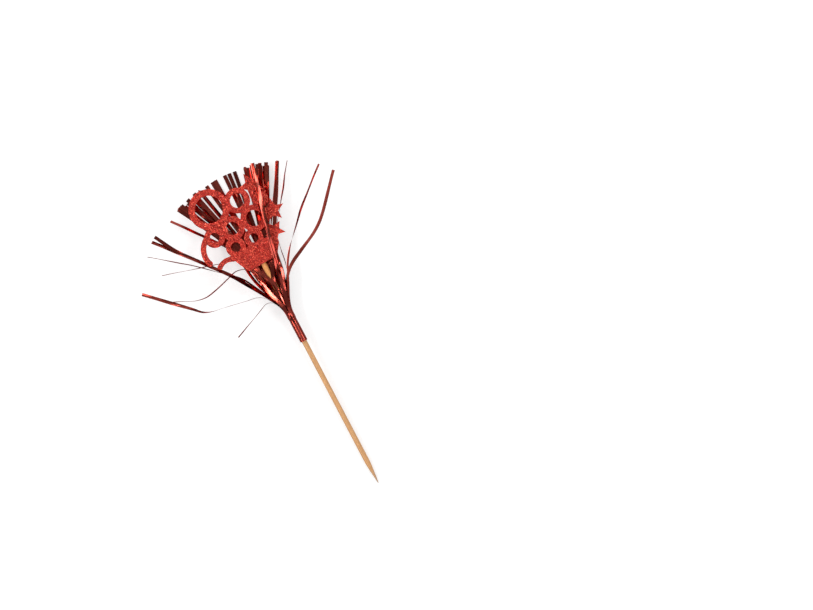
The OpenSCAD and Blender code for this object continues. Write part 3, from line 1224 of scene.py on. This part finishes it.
    def strip(self, lie: Lie, flat: int, layer: int) -> tuple[Array, Array, Array]:
        """Cross-sections of one strip along its middle line.

        A section is curved round the roll at the header and opens flat over the first few
        millimetres: each point across sits below the middle by the curvature times the square
        of its distance, halved. Further out the strip keeps a faint curl, and small waves and
        twists come and go along it, each the sum of two sines. Strays are calmer, and rolled a
        little, so that none is seen quite on edge for long. Some of them peel away: they are
        rolled further on their first stretch.

        Args:
            lie: Where the pick lies.
            flat: Number of the flat.
            layer: Number of the layer.

        Returns:
            Points of all sections, their places along and across in millimetres, and the
            distances of the sections along the strip.
        """
        q, i = self.course(flat, layer), self.number(flat, layer)
        line, s = self.middle(lie, flat, layer, q)
        stray = q.steps > self.even_steps
        loose = self.sway_in.share(s) * (self.calm if stray else 1.0)
        phase = math.pi * vary(i, 6), math.pi * vary(i, 7)
        twist = self.wobble * loose * (
            np.sin(s / (self.twist_lens[0] + vary(i, 8)) + phase[0])
            + 0.5 * np.sin(s / (self.twist_lens[1] + 0.4 * vary(i, 9)) + phase[1])
            + (self.stray_roll if stray else 0.0)
        )
        peel = q.peel * self.peel_in.share(s) * (1.0 - self.peel_out.share(s))
        wave = self.ripple * loose * (
            np.sin(s / (self.wave_lens[0] + 0.5 * vary(i, 10)) + phase[1])
            + 0.25 * np.sin(s / self.wave_lens[1] + phase[0])
        )
        forward = unit(np.gradient(line, s, axis=0))
        width = self.side(q, s, lie.tilt, self.azimuth(flat), twist + peel)
        width = unit(width - (width * forward).sum(-1, keepdims=True) * forward)
        face = np.cross(forward, width)
        line = line + face * wave[:, None]
        curl = self.curl * vary(i, 11) * mix(self.curl_least, 1.0, self.curl_in.share(s))
        bent = mix(1.0 / self.wound_r(layer), curl, Stretch(-self.root_len, self.open_len).share(s))
        c = np.linspace(-1.0, 1.0, self.across) * self.strip_w / 2
        sag = -0.5 * bent[:, None] * c**2
        below, above = (
            line[:, None] + width[:, None] * c[:, None] + face[:, None] * (sag + half)[..., None]
            for half in (-self.film_t / 2, self.film_t / 2)
        )
        points = np.concatenate([below, above[:, ::-1]], axis=1)
        points[..., 2] = np.maximum(points[..., 2], self.film_t / 2)
        over = np.concatenate([c, c[::-1]])
        uv = np.stack(np.broadcast_arrays(over + 7.0 * i, s[:, None] + 3.0 * i), axis=-1)
        return points, uv, s

    def tones(self, flat: int, layer: int, s: Array) -> Array:
        """Painted tone along a strip: painted shade at the roll, then its own, with a painted highlight
        on the left of the sheaf.

        Args:
            flat: Number of the flat.
            layer: Number of the layer.
            s: Distances along the strip.

        Returns:
            Tones from 0 to 1.
        """
        q, own = self.course(flat, layer), self.course(flat, layer).tone
        # A strip's own tone is a painted reflection that differs from strip to strip.
        if own is None:
            own = mix(*self.painted_reflection_tones, (0.5 + 0.5 * vary(self.number(flat, layer), 12)) ** 1.2)
        # Painted shade lasts longer on the right of the sheaf, and a painted highlight lies on flats on
        # its left.
        right, left = flat in (0, 1), flat in (2, 3)
        start = q.painted_shade_len + (self.painted_shade_right if right else 0.0)
        tone = mix(self.painted_root_shade, own, Stretch(start, self.tone_len).share(s))
        if q.tone is not None or not left:
            return tone
        return mix(tone, 1.0, self.painted_light_in.share(s) * (1.0 - self.painted_light_out.share(s)))

    def strips(self, lie: Lie, material: bpy.types.Material) -> bpy.types.Object:
        """All strips in one piece, each a closed tube of thin section with square cut ends.

        Args:
            lie: Where the pick lies.
            material: The film's finish.

        Returns:
            The strips' object.
        """
        shell = Shell("foil_fringe_strips")
        ring = 2 * self.across
        faces = np.concatenate(
            [grid_faces(self.stations, ring), end_faces(self.stations, self.across)]
        )
        for flat in range(self.flats):
            for layer in range(self.layers):
                points, uv, s = self.strip(lie, flat, layer)
                shell.add(points, faces, uv, np.repeat(self.tones(flat, layer, s), ring))
        return shell.piece(material, "root")

    def header(self, lie: Lie, material: bpy.types.Material) -> bpy.types.Object:
        """The wound header, as a profile carried round the skewer.

        The outer wall has lengthwise creases, which are a sine without its sign so that the
        valleys are sharp, with fine ones between, the step of the film's outer end, and a
        narrower upper rim.
        The lower rim shows the turns: its height falls, saw-tooth, with the spiral.
        The tone is the mean crease at each angle, to the sixth power: painted shade in the valleys and
        painted highlight on the ridges.

        Args:
            lie: Where the pick lies.
            material: The film's finish.

        Returns:
            The header's object.
        """
        around, long, rim = self.header_points
        turn = np.arange(around)[:, None] * 2 * math.pi / around
        y = np.linspace(0.0, self.header_len, long)[None, :]
        lap = 1.2 * self.film_t * self.lap_in.share(turn) * (1 - self.lap_out.share(turn))
        drift, fine_drift = 0.12 * np.sin(y / 4.1), 0.9 * np.sin(y / 3.7 + 1.0)
        creased = np.abs(np.sin(self.creases * turn + self.crease_turn + drift))
        fine = self.fine_creases[1] * np.sin(self.fine_creases[0] * turn + fine_drift)
        ridges = self.crease_depth * (creased - self.crease_mean) + fine
        drawn_in = self.rim_in * Stretch(self.header_len - self.rim_len, self.rim_len).share(y)
        outer = self.header_r - self.film_t / 2 + lap + ridges - drawn_in
        bore = self.stick_r + self.clear
        share = np.linspace(1.0, 0.0, rim)[None, :]
        inward = bore + (outer[:, :1] - bore) * share
        spiral = (inward - bore) / self.wind_pitch - turn / (2 * math.pi)
        step = self.wind_pitch * (spiral - np.floor(spiral)) * np.sin(math.pi * share)
        top = bore + (outer[:, -1:] - bore) * share[:, ::4]
        r = np.concatenate([outer[:, ::-1], inward[:, 1:], top[:, ::-1][:, :-1]], axis=1)
        wall = np.broadcast_to(y[:, ::-1], outer.shape)
        lid = np.full(top.shape, self.header_len)[:, :-1]
        h = np.concatenate([wall, step[:, 1:], lid], axis=1)
        points = np.stack([r * np.cos(turn), self.header_start + h, -r * np.sin(turn)], axis=-1)
        uv = np.stack(np.broadcast_arrays(turn * self.header_r, 0.03 * h), axis=-1)
        # Painted shade and highlight: valleys of the creases get a dark tone, their tops a bright one.
        crest = creased.mean(axis=1, keepdims=True) ** 6
        tone = np.broadcast_to(mix(*self.painted_crease_tones, crest), r.shape)
        shell = Shell("foil_fringe_header")
        shell.add(lie.place(points), grid_faces(around, r.shape[1], close_rows=True), uv, tone)
        return shell.piece(material, "root")

    def build(self, lie: Lie, finish: FilmFinish) -> None:
        """Builds the header and the strips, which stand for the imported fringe.

        Args:
            lie: Where the pick lies.
            finish: The film's finish.
        """
        material = finish.material()
        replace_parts(self.strips(lie, material), "foil_fringe")
        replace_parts(self.header(lie, material), "foil_fringe")


@dataclass
class Glue:
    """The bead of glue between the skewer's end and the card.

    Attributes:
        stick_r: Radius of the skewer.
        stick_end: Distance from the tip to the skewer's end.
        film: Thickness of the glue under the card.
        width: Width of the bead against the card.
        length: Length of the bead.
        end_gap: Distance of the bead from the skewer's end.
        reach: Angle from straight up to where the bead ends on the skewer, in degrees.
        seat: How far the bead's inner face lies within the skewer.
        end_width: Share of the width that is left at both ends.
        end_reach: Share of the reach that is left at a section of no width.
        ease_power: Power by which the bead's flank falls to the skewer.
        rows: Sections along the bead.
        half: Points on each of a section's two sides.
    """

    stick_r: float = 1.5
    stick_end: float = 150.0
    film: float = 0.2
    width: float = 5.6
    length: float = 9.0
    end_gap: float = 0.25
    reach: float = 106.0
    seat: float = 0.01
    end_width: float = 0.42
    end_reach: float = 0.8
    ease_power: float = 0.7
    rows: int = 48
    half: int = 33

    def build(self, lie: Lie, finish: GlueFinish) -> bpy.types.Object:
        """A squeezed bead: horseshoe sections over the skewer that narrow towards both ends.

        A section is given by its radius at each angle from straight up. Up to the bead's edge
        it is the height of the card over the cosine, and beyond that it eases to the skewer.
        Its width along the bead is the fourth root of one less the fourth power of the distance
        from the middle, with a slow wave, and a share of it is left at both ends.

        Args:
            lie: Where the pick lies.
            finish: The glue's finish.

        Returns:
            The bead's object.
        """
        top = self.stick_r + self.film
        u = np.linspace(-1.0, 1.0, self.rows)[:, None]
        size = np.maximum(1 - u**4, 0.0) ** 0.25 * (0.96 + 0.04 * np.sin(6 * u + 1.0))
        size = mix(self.end_width, 1.0, size)
        reach = np.radians(self.reach) * mix(self.end_reach, 1.0, size)
        angle = np.linspace(-1.0, 1.0, self.half)[None, :] * reach
        edge = np.arctan(size * self.width / 2 / top)
        past = np.clip((np.abs(angle) - edge) / (np.abs(angle[:, :1]) - edge), 0.0, 1.0)
        under = top / np.cos(np.minimum(np.abs(angle), edge))
        outer = mix(under, self.stick_r + self.seat, past**self.ease_power)
        inner = np.full_like(outer, self.stick_r - self.seat)
        r = np.concatenate([outer, inner[:, ::-1]], axis=1)
        t = np.concatenate([angle, angle[:, ::-1]], axis=1)
        y = self.stick_end - self.end_gap + (u - 1) * self.length / 2
        points = np.stack(np.broadcast_arrays(r * np.sin(t), y, r * np.cos(t)), axis=-1)
        shell = Shell("glue_bead_melt")
        faces = np.concatenate([grid_faces(self.rows, 2 * self.half), end_faces(self.rows, self.half)])
        shell.add(lie.place(points), faces, points[..., :2], np.full(r.size, 0.5))
        made = shell.piece(finish.material(), "root")
        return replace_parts(made, "glue_bead")


@dataclass
class Glitter:
    """Loose-looking flakes of glitter that stand on the card's upper face.

    Attributes:
        count: Number of flakes.
        across: Smallest and largest width of a flake.
        thick: Thickness of a flake.
        lean: Largest lean of a flake from the card's face, in degrees.
        lean_power: Power of the random share that sets a flake's lean.
        level: Least upward part of the normal of a face that carries flakes.
        clump: Width of a patch of like flakes.
        alike: Share of a flake's tone that its patch gives.
        sides: Sides of a flake.
        seed: Seed of the scatter.
    """

    count: int = 8600
    across: tuple[float, float] = (0.26, 0.42)
    thick: float = 0.025
    lean: float = 24.0
    lean_power: float = 0.7
    level: float = 0.9
    clump: float = 0.7
    alike: float = 0.75
    sides: int = 6
    seed: int = 7

    def scatter(self, card: bpy.types.Object, rng: np.random.Generator) -> tuple[Array, Array]:
        """Even random places on the faces of the card that look up.

        A face is drawn by its area, and a place in it by two random shares, folded back where
        their sum passes one.

        Args:
            card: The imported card.
            rng: The random numbers.

        Returns:
            Points in the row frame, in millimetres, and the card's upward normal.
        """
        mesh = card.data
        mesh.calc_loop_triangles()
        co = np.zeros(len(mesh.vertices) * 3, np.float32)
        mesh.vertices.foreach_get("co", co)
        tri = np.zeros(len(mesh.loop_triangles) * 3, np.int32)
        mesh.loop_triangles.foreach_get("vertices", tri)
        a, b, c = np.moveaxis(co.reshape(-1, 3)[tri.reshape(-1, 3)].astype(float) / MM, 1, 0)
        cross = np.cross(b - a, c - a)
        area = np.linalg.norm(cross, axis=1) / 2
        upper = cross[:, 2] > self.level * 2 * area
        share = np.where(upper, area, 0.0)
        pick = rng.choice(len(share), self.count, p=share / share.sum())
        v, w = rng.random(self.count), rng.random(self.count)
        fold = v + w > 1
        v, w = np.where(fold, 1 - v, v)[:, None], np.where(fold, 1 - w, w)[:, None]
        points = a[pick] + v * (b - a)[pick] + w * (c - a)[pick]
        return points, unit(cross[upper].sum(0))

    def clumps(self, points: Array, rng: np.random.Generator) -> Array:
        """Tones of the flakes, painted shade and painted glints, alike within patches.

        A flake's tone lies between its own random number and that of its patch.

        Args:
            points: Places of the flakes.
            rng: The random numbers.

        Returns:
            Tones from 0 to 1.
        """
        cell = np.floor((points[:, :2] - points[:, :2].min(0)) / self.clump).astype(int)
        patches = rng.random(cell.max(0) + 1)[cell[:, 0], cell[:, 1]]
        return mix(rng.random(self.count), patches, self.alike)

    def build(self, card: bpy.types.Object, finish: GlitterFinish) -> bpy.types.Object:
        """Thin plates, each turned and leant its own way.

        Args:
            card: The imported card.
            finish: The glitter's finish.

        Returns:
            The flakes' object.
        """
        rng = np.random.default_rng(self.seed)
        points, up = self.scatter(card, rng)
        lean = np.radians(self.lean) * rng.random((self.count, 1)) ** self.lean_power
        way = rng.random((self.count, 1)) * 2 * math.pi
        right = unit(np.cross(up, [0.0, 1.0, 0.0]))
        on = np.cross(up, right)
        normal = np.cos(lean) * up + np.sin(lean) * (np.cos(way) * right + np.sin(way) * on)
        side = unit(np.cross(normal, on))
        front = np.cross(normal, side)
        n, j = self.sides, np.arange(self.sides)
        corner = j * 2 * math.pi / n
        turn = rng.random((self.count, 1)) * 2 * math.pi + corner
        r = mix(self.across[0], self.across[1], rng.random((self.count, 1)))[..., None] / 2
        ring = r * (np.cos(turn)[..., None] * side[:, None] + np.sin(turn)[..., None] * front[:, None])
        lift = (0.5 * np.sin(lean) * r[:, 0] + self.thick / 2) * up
        middle = (points + lift)[:, None]
        half = normal[:, None] * self.thick / 2
        plates = np.concatenate([middle + ring - half, middle + ring + half], axis=1)
        first = (np.arange(self.count) * 2 * n)[:, None]
        tone = np.repeat(self.clumps(points, rng), 2 * n)
        walls = np.stack([j, (j + 1) % n, (j + 1) % n + n, j + n], axis=-1)
        faces = (first[..., None] + walls[None]).reshape(-1, 4)
        shell = Shell("glitter_card_flakes")
        shell.add(plates, faces, plates[..., :2], tone)
        for lid in (j[::-1], j + n):
            shell.faces += (first + lid[None]).tolist()
        made = shell.piece(finish.flakes(), "root")
        made.data.shade_flat()
        return made


@dataclass(frozen=True)
class Window:
    """A soft bright patch that only gloss shows.

    Attributes:
        way: The way to it.
        edge: Cosine of the angle from its middle to its edge.
        core: Cosine of the angle within which it is evenly bright.
        strength: Its brightness.
    """

    way: Colour
    edge: float
    core: float
    strength: float


@dataclass(frozen=True)
class Lamp:
    """An area lamp.

    Attributes:
        name: Its name.
        place: Where it hangs, in metres.
        size: Its width and height, in metres.
        power: Its power, in watts.
    """

    name: str
    place: Colour
    size: tuple[float, float]
    power: float


@dataclass
class Studio:
    """A pale floor, soft lamps and the camera that looks down as the photograph does.

    Attributes:
        px_mm: Millimetres to a pixel.
        frame_px: Size of the picture.
        tip_px: Place of the skewer's tip in the picture.
        lean: Lean of the skewer to the left of upright, in degrees.
        lens: Focal length, in millimetres.
        sensor: Width of the sensor, in millimetres.
        clip: Nearest and farthest distance that the camera sees, in metres.
        floor_half: Half the width of the floor, in metres.
        floor_grey: Colour of the floor.
        floor_glow: Light that the floor gives off to the camera and through what is clear.
        room: What gloss shows, from the horizon up: height and grey.
        plain_light: Grey that lights what isn't glossy.
        windows: Bright patches of the room.
        lamps: Long narrow lamps, whose reflections are thin lines.
    """

    px_mm: float = 0.566
    frame_px: tuple[int, int] = (813, 610)
    tip_px: tuple[float, float] = (378.4, 482.6)
    lean: float = 27.5
    lens: float = 85.0
    sensor: float = 36.0
    clip: tuple[float, float] = (0.01, 20.0)
    floor_half: float = 4.0
    floor_grey: float = 0.62
    floor_glow: float = 0.56
    room: tuple[tuple[float, float], ...] = (
        (0.0, 0.85), (0.16, 0.65), (0.42, 0.38), (0.75, 0.28), (1.0, 0.18),
    )
    plain_light: float = 0.5
    windows: tuple[Window, ...] = (
        Window((-0.62, 0.46, 0.64), 0.91, 0.935, 7.0),
        Window((0.12, 0.80, 0.58), 0.92, 0.95, 6.0),
        Window((0.80, 0.10, 0.59), 0.965, 0.98, 1.2),
        Window((-0.13, -0.13, 0.98), 0.990, 0.995, 4.5),
        Window((0.40, 0.24, 0.88), 0.985, 0.993, 4.0),
    )
    lamps: tuple[Lamp, ...] = (
        Lamp("left_lamp", (-0.75, 0.30, 0.80), (1.30, 0.12), 4.4),
        Lamp("right_lamp", (0.70, -0.15, 0.85), (1.10, 0.10), 2.8),
        Lamp("far_lamp", (0.10, 0.85, 0.55), (1.20, 0.14), 2.0),
    )

    def hang(self, name: str, data: bpy.types.ID) -> bpy.types.Object:
        """Puts a camera, a lamp or a mesh into the scene.

        Args:
            name: Name of the new object.
            data: What it shows.

        Returns:
            The new object.
        """
        made = bpy.data.objects.new(name, data)
        bpy.context.scene.collection.objects.link(made)
        return made

    def camera(self, lie: Lie) -> None:
        """Puts the camera above the picture's middle, turned so that the pick leans.

        The tip's distance from the middle in pixels, turned by the lean and scaled, gives where
        the middle lies from the tip. The height is the picture's width times lens over sensor.

        Args:
            lie: Where the pick lies.
        """
        a = math.radians(self.lean)
        right = self.frame_px[0] / 2 - self.tip_px[0]
        up = self.tip_px[1] - self.frame_px[1] / 2
        across = (right * math.cos(a) + up * math.sin(a)) * self.px_mm
        along = (-right * math.sin(a) + up * math.cos(a)) * self.px_mm
        height = self.frame_px[0] * self.px_mm * self.lens / self.sensor
        data = bpy.data.cameras.new("camera")
        data.lens, data.sensor_width, data.sensor_fit = self.lens, self.sensor, "HORIZONTAL"
        data.clip_start, data.clip_end = self.clip
        made = self.hang("camera", data)
        made.location = Vector((lie.tip_x + across, lie.tip_y + along, height)) * MM
        made.rotation_euler = (0.0, 0.0, -a)
        bpy.context.scene.camera = made

    def light(self, lamp: Lamp) -> None:
        """Hangs an area lamp that faces the pick.

        Args:
            lamp: The lamp.
        """
        data = bpy.data.lights.new(lamp.name, "AREA")
        data.shape, data.size, data.size_y, data.energy = "RECTANGLE", *lamp.size, lamp.power
        made = self.hang(lamp.name, data)
        made.location = lamp.place
        made.rotation_euler = (-Vector(lamp.place)).to_track_quat("-Z", "Y").to_euler()

    def floor(self) -> None:
        """A wide pale floor that keeps the shadow and reads as white to the camera."""
        size, grey = self.floor_half, self.floor_grey
        mesh = bpy.data.meshes.new("floor")
        corners = [(-size, -size, 0.0), (size, -size, 0.0), (size, size, 0.0), (-size, size, 0.0)]
        mesh.from_pydata(corners, [], [(0, 1, 2, 3)])
        material = bpy.data.materials.new("pale_floor")
        material.use_nodes = True
        tree = Tree(material.node_tree)
        material.node_tree.nodes.clear()
        path = tree.add("ShaderNodeLightPath").outputs
        seen = tree.math("MAXIMUM", path["Is Camera Ray"], path["Is Transmission Ray"])
        plain = tree.add("ShaderNodeBsdfDiffuse", {"Color": (grey, grey, grey, 1.0)})
        strength = tree.math("MULTIPLY", seen, self.floor_glow)
        glow = tree.add("ShaderNodeEmission", {"Strength": strength})
        both = tree.add("ShaderNodeAddShader", {0: plain.outputs[0], 1: glow.outputs[0]})
        tree.add("ShaderNodeOutputMaterial", {"Surface": both.outputs[0]})
        mesh.materials.append(material)
        self.hang("floor", mesh)

    def world(self) -> None:
        """White to the camera; to gloss, the room with its windows; else even grey."""
        world = bpy.data.worlds.new("studio")
        bpy.context.scene.world = world
        world.use_nodes = True
        tree = Tree(world.node_tree)
        world.node_tree.nodes.clear()
        path = tree.add("ShaderNodeLightPath").outputs
        way = tree.add("ShaderNodeTexCoord").outputs["Generated"]
        height = tree.add("ShaderNodeSeparateXYZ", {0: way}).outputs[2]
        shown = tree.ramp(height, {place: (grey,) * 3 for place, grey in self.room})
        for window in self.windows:
            near = tree.vector("DOT_PRODUCT", {0: way, 1: window.way}).outputs["Value"]
            soft = tree.add(
                "ShaderNodeMapRange",
                {"Value": near, "From Min": window.edge, "From Max": window.core},
                interpolation_type="SMOOTHSTEP",
            )
            shown = tree.blend(soft.outputs[0], shown, (window.strength,) * 3)
        shown = tree.blend(path["Is Glossy Ray"], (self.plain_light,) * 3, shown)
        shown = tree.blend(path["Is Camera Ray"], shown, (1.0, 1.0, 1.0))
        light = tree.add("ShaderNodeBackground", {"Color": shown})
        tree.add("ShaderNodeOutputWorld", {"Surface": light.outputs[0]})

    def build(self, lie: Lie) -> None:
        """Sets up the floor, the world, the lamps and the camera.

        Args:
            lie: Where the pick lies.
        """
        bpy.context.scene.view_settings.view_transform = "Standard"
        self.floor()
        self.world()
        for lamp in self.lamps:
            self.light(lamp)
        self.camera(lie)


def lie_of(skewer: Skewer, tilt: float) -> Lie:
    """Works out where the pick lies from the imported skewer's box.

    Args:
        skewer: The skewer's sizes.
        tilt: The skewer's tilt, in degrees.

    Returns:
        Where the pick lies.
    """
    low, high = (np.array(corner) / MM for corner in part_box("bamboo_skewer"))
    a = math.radians(tilt)
    axis_z = skewer.radius * math.cos(a) - skewer.point_len * math.sin(a)
    return Lie(tilt, axis_z, (low[0] + high[0]) / 2, low[1] + skewer.tip_d / 2 * math.sin(a))


def main() -> None:
    """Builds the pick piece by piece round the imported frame, then the studio."""
    logging.basicConfig(level=logging.INFO, format="%(name)s: %(message)s")
    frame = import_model()
    grain_group()
    flake_group()
    skewer = Skewer()
    lie = lie_of(skewer, LIE_TILT)
    Studio().build(lie)
    skewer.build(lie, BambooFinish("bamboo"))
    Fringe().build(lie, FilmFinish("red_film"))
    Glue().build(lie, GlueFinish("hot_melt_glue"))
    card = frame["nodes"]["glitter_card"]
    card.material_slots[0].material = GlitterFinish("glitter_sheet").sheet()
    Glitter().build(card, GlitterFinish("glitter_flakes"))
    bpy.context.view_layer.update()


if __name__ == "__main__":
    main()
